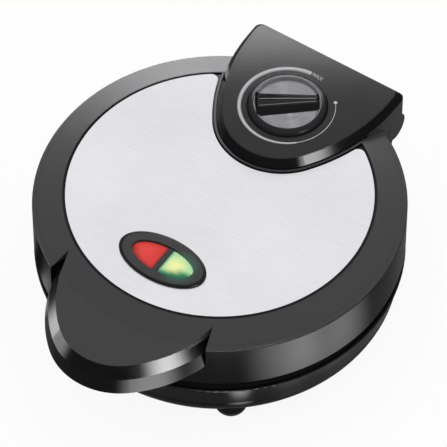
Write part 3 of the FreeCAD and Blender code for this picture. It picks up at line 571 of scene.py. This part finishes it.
def make_scale():
    pattern = Pattern("dial_scale")
    given = pattern.inputs({
        "Radius": scale_radius, "Hot End": math.radians(93.2),
        "Wide Sweep": math.radians(220.4), "Thin Sweep": math.radians(84.5),
        "Widest": 2.6 * mm, "Wide Step": 1.05 * mm, "Thin Step": 0.5 * mm, "Thinnest": 0.36 * mm,
        "Dot": 1.05 * mm, "Ink": 0.1 * mm, "Material": ink("scale_ink", 0.42)})
    step = given["Hot End"] + given["Wide Sweep"]
    cold_end = step + given["Thin Sweep"]
    wide = scale_band(pattern, given["Radius"], given["Hot End"], given["Wide Sweep"],
                      given["Widest"], given["Wide Step"])
    thin = scale_band(pattern, given["Radius"], step, given["Thin Sweep"],
                      given["Thin Step"], given["Thinnest"])
    dot = pattern.node("GeometryNodeMeshCylinder", inputs={
        "Vertices": 24, "Radius": given["Dot"], "Depth": given["Ink"]})
    reach = pattern.node("ShaderNodeCombineXYZ", inputs={0: given["Radius"]})
    turn = pattern.node("ShaderNodeCombineXYZ", inputs={2: cold_end})
    spot = pattern.node("ShaderNodeVectorRotate", {"rotation_type": "EULER_XYZ"}, {
        "Vector": reach, "Rotation": turn})
    dot = pattern.node("GeometryNodeTransform", inputs={"Geometry": dot, "Translation": spot})
    join = pattern.tree.nodes.new("GeometryNodeJoinGeometry")
    for piece in (wide, thin, dot):
        pattern.feed(join.inputs[0], piece)
    pattern.finish(Wire(pattern, join.outputs[0]), given["Material"])
    scale = pattern.make("dial_scale")
    scale.data.transform(Matrix.Translation((dial_axis.x, dial_axis.y, console_top)))
    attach(scale, "lid")
    print("scale faces:", len(scale.data.polygons))


make_scale()

# %% [markdown]
# The word at the hot end is set as text, because type needs its font's own curves. It is made a mesh
# first and then turned to follow the band, so its object stays at the origin like every other piece.

# %% Word at the hot end
capital_share = 0.69


def make_word(word, height, angle, radius):
    curve = bpy.data.curves.new("hot_end_word", "FONT")
    curve.body = word
    curve.size = height / capital_share
    curve.align_x = "CENTER"
    curve.align_y = "CENTER"
    curve.extrude = 0.03 * mm
    curve.offset = 0.08 * mm
    maker = bpy.data.objects.new("hot_end_maker", curve)
    mesh = bpy.data.meshes.new_from_object(maker)
    bpy.data.objects.remove(maker)
    turn = Matrix.Rotation(angle - math.radians(90.0), 4, "Z")
    spot = Vector((math.cos(angle), math.sin(angle), 0.0)) * radius
    place = Matrix.Translation(spot + Vector((dial_axis.x, dial_axis.y, console_top)))
    mesh.transform(place @ turn)
    mesh.materials.clear()
    mesh.materials.append(ink("word_ink", 0.2))
    piece = bpy.data.objects.new("hot_end_word", mesh)
    bpy.context.scene.collection.objects.link(piece)
    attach(piece, "lid")
    print("word faces:", len(mesh.polygons))


make_word("MAX", 2.3 * mm, math.radians(84.5), scale_radius)

# %% [markdown]
# ## Studio
# A pale floor runs on without an edge. Rays from the camera and in mirrors see it as white paper, but
# it still carries a faint shadow. The world is plain white to the same rays and a soft fill to all
# others.

# %% Floor and world
def white_share(graph):
    rays = graph.tree.nodes.new("ShaderNodeLightPath").outputs
    seen = graph.larger(Wire(graph, rays["Is Camera Ray"]), Wire(graph, rays["Is Glossy Ray"]))
    return graph.larger(seen, Wire(graph, rays["Is Transmission Ray"]))


def make_floor():
    half = 3.0
    corners = [(-half, -half, 0), (half, -half, 0), (half, half, 0), (-half, half, 0)]
    mesh = bpy.data.meshes.new("floor")
    mesh.from_pydata(corners, [], [(0, 1, 2, 3)])
    floor = bpy.data.objects.new("floor", mesh)
    bpy.context.scene.collection.objects.link(floor)
    material = bpy.data.materials.new("paper")
    material.use_nodes = True
    paper = Graph(material.node_tree)
    diffuse = paper.node("ShaderNodeBsdfDiffuse", inputs={"Color": (0.98, 0.98, 0.98, 1.0)})
    white = paper.node("ShaderNodeEmission")
    share = white_share(paper) * 0.9
    mixed = paper.node("ShaderNodeMixShader", inputs={0: share, 1: diffuse, 2: white})
    paper.feed(paper.tree.nodes["Material Output"].inputs["Surface"], mixed)
    mesh.materials.append(material)


def make_world(fill):
    world = bpy.data.worlds.new("studio")
    bpy.context.scene.world = world
    world.use_nodes = True
    sky = Graph(world.node_tree)
    ground = sky.tree.nodes["Background"]
    ground.inputs["Color"].default_value = (1.0, 1.0, 1.0, 1.0)
    share = white_share(sky)
    sky.feed(ground.inputs["Strength"], fill + share * (1.0 - fill))


make_floor()
make_world(fill=0.95)
print("floor and world made")

# %% [markdown]
# ## Camera
# The camera looks down from the front right with a long lens, so near and far parts keep almost the
# same scale. Its place follows from two angles and a distance, which are easier to correct than
# coordinates. The same angles give the directions that the lamp is placed by.

# %% Camera
view_azimuth = math.radians(33.583)
view_height = math.radians(52.008)
view_distance = 2.5
view_target = Vector((-2.79, 19.72, 45.0)) * mm
away = Vector((-math.sin(view_azimuth), math.cos(view_azimuth), 0.0))
right = Vector((math.cos(view_azimuth), math.sin(view_azimuth), 0.0))
up = Vector((0.0, 0.0, 1.0))


def make_camera():
    data = bpy.data.cameras.new("camera")
    data.lens = 355.97
    data.sensor_width = 36.0
    data.clip_end = 20.0
    camera = bpy.data.objects.new("camera", data)
    back = up * math.sin(view_height) - away * math.cos(view_height)
    camera.location = view_target + back * view_distance
    camera.rotation_euler = back.to_track_quat("Z", "Y").to_euler()
    bpy.context.scene.collection.objects.link(camera)
    bpy.context.scene.camera = camera


make_camera()
bpy.context.scene.view_settings.view_transform = "Standard"
print("camera", round(view_distance, 2), "m away")

# %% [markdown]
# ## Lamp and tent
# Black plastic shows little but what it mirrors, so each light hangs where a face mirrors it to the
# camera. One wide lamp behind the maker gives the satin console its sheen. It shows only in mirrors,
# and it is kept off the steel panel, which would mirror it as a bright bar.

# %% Lamp behind the console
lid_foot = Vector((0.0, lid_axis, 0.0))


def mirrored_only(thing):
    """Only mirrors see it: it neither shows to the camera nor lights matt faces nor casts a shadow."""
    thing.visible_camera = False
    thing.visible_diffuse = False
    thing.visible_transmission = False
    thing.visible_shadow = False


def spare(lamp, *names):
    """Keeps a lamp off some nodes."""
    kept_off = bpy.data.collections.new(lamp.name + "_kept_off")
    for name in names:
        kept_off.objects.link(nodes[name])
    for entry in kept_off.collection_objects:
        entry.light_linking.link_state = "EXCLUDE"
    lamp.light_linking.receiver_collection = kept_off


def softbox(name, place, facing, width, height, radiance):
    """A rectangular lamp with the same brightness all over its face."""
    data = bpy.data.lights.new(name, "AREA")
    data.shape = "RECTANGLE"
    data.size = width
    data.size_y = height
    data.energy = radiance * math.pi * width * height
    lamp = bpy.data.objects.new(name, data)
    lamp.location = place
    lamp.rotation_euler = (-facing).to_track_quat("Z", "Y").to_euler()
    mirrored_only(lamp)
    bpy.context.scene.collection.objects.link(lamp)
    return lamp


lamp_place = lid_foot + away * 0.30 + right * 0.05 + up * 0.268
console_lamp = softbox("console_lamp", lamp_place, -away, 0.30, 0.12, 18.0)
spare(console_lamp, "lid_panel")
print("lamp made:", console_lamp.name)

# %% [markdown]
# A round tent of dark cloth stands about the maker, as a photographer builds one for glossy black
# goods. The cloth is one sheet, a floor and a wall. It is brighter high up on both sides, and two soft
# shades darken its floor on the left.

# %% Dark tent
tent_height = 290.0 * mm
tent_radius = 500.0 * mm
tent_lift = 0.5 * mm
tent_sides = 96
shade_depth = 0.95


def tent_place(finish):
    """Turn from the front, and the way along the cloth from the corner between floor and wall."""
    x, y, z = finish.place()
    ahead = lid_axis - y
    turn = finish.node("ShaderNodeMath", {"operation": "ARCTAN2"}, {0: x, 1: ahead})
    return turn, finish.reach(x, ahead) + z - tent_radius


def patch(finish, turn, along, shape):
    """1 in the middle of a soft oval on the cloth and 0 outside it."""
    middle_turn, middle_along, half_turn, half_along = shape
    off_turn = (turn - math.radians(middle_turn)) / math.radians(half_turn)
    off_along = (along - middle_along * mm) / (half_along * mm)
    return 1.0 - finish.rise(finish.reach(off_turn, off_along), 0.2, 1.0)


def make_tent(name, inset, material):
    points = []
    for level in (tent_lift + inset, tent_height):
        for i in range(tent_sides):
            turn = 2.0 * math.pi * i / tent_sides
            spoke = Vector((math.cos(turn), math.sin(turn), 0.0)) * (tent_radius - inset)
            points.append(lid_foot + spoke + up * level)
    faces = [tuple(range(tent_sides))]
    for i in range(tent_sides):
        j = (i + 1) % tent_sides
        faces.append((j, i, i + tent_sides, j + tent_sides))
    mesh = bpy.data.meshes.new(name)
    mesh.from_pydata(points, [], faces)
    mesh.materials.append(material)
    tent = bpy.data.objects.new(name, mesh)
    bpy.context.scene.collection.objects.link(tent)
    mirrored_only(tent)
    print(name, "faces:", len(faces))
    return tent


def cloth(dim, shades):
    finish = Finish("tent_cloth", {})
    turn, along = tent_place(finish)
    aside = finish.rise(finish.size(turn), math.radians(50.0), math.radians(80.0))
    bright = finish.rise(along, 0.5 * tent_height, tent_height) * aside
    level = dim + bright * (1.0 - dim)
    for shape in shades.values():
        level = level * (1.0 - patch(finish, turn, along, shape) * shade_depth)
    glow = finish.node("ShaderNodeEmission", inputs={"Color": level})
    finish.feed(finish.tree.nodes["Material Output"].inputs["Surface"], glow)
    return finish.material


shades = {
    "lid wall left": (-62.0, -375.0, 10.0, 40.0),
    "handle notch": (-76.0, -325.0, 16.0, 50.0),
}
make_tent("tent", 0.0, cloth(0.15, shades))

# %% [markdown]
# Bright patches hang on the cloth where the camera sees them mirrored in the bevels and walls. Each
# patch has a turn in degrees and a place along the cloth in millimetres, its two half sizes and its
# brightness. They could be lamps, but a row of lamps can't fade at its edges, so the patches are drawn
# on clear sheets that only glow. Each sheet lights only the pieces that it was hung for, so that the
# steel panel stays free of glare from every side.

# %% Bright patches
lid_patches = {
    "handle right": (60.0, 140.0, 18.0, 60.0, 74.0),
    "handle left": (-60.0, -140.0, 20.0, 140.0, 15.0),
    "handle front left": (-48.0, 30.0, 16.0, 90.0, 10.0),
    "handle below": (36.0, -278.0, 22.0, 60.0, 16.0),
    "lid wall front": (60.0, -345.0, 20.0, 50.0, 3.4),
    "lid wall side": (78.0, -345.0, 28.0, 50.0, 2.8),
    "lid wall left": (-51.0, -376.0, 6.0, 14.0, 0.4),
    "lid band back": (-138.0, 90.0, 40.0, 150.0, 14.0),
}
console_patches = {"console bevel": (80.0, 222.0, 18.0, 45.0, 38.0)}
foot_patches = {"foot": (41.0, -380.0, 6.0, 10.0, 5.0)}


def hang(name, inset, patches, *lit_names):
    finish = Finish(name, {})
    turn, along = tent_place(finish)
    level = 0.0
    for *shape, bright in patches.values():
        level = patch(finish, turn, along, shape) * bright + level
    glow = finish.node("ShaderNodeEmission", inputs={"Color": level})
    clear = finish.node("ShaderNodeBsdfTransparent")
    both = finish.node("ShaderNodeAddShader", inputs={0: clear, 1: glow})
    finish.feed(finish.tree.nodes["Material Output"].inputs["Surface"], both)
    sheet = make_tent(name, inset, finish.material)
    lit = bpy.data.collections.new(name + "_lit")
    for lit_name in lit_names:
        lit.objects.link(nodes[lit_name])
    sheet.light_linking.receiver_collection = lit


hang("lid_patches", 1.0 * mm, lid_patches,
     "lid_shell", "handle_lower_cover", "base_shell", "indicator_bezel")
hang("console_patches", 2.0 * mm, console_patches, "console_cover", "temperature_dial")
hang("foot_patches", 3.0 * mm, foot_patches, "base_shell", "front_left_foot", "front_right_foot")
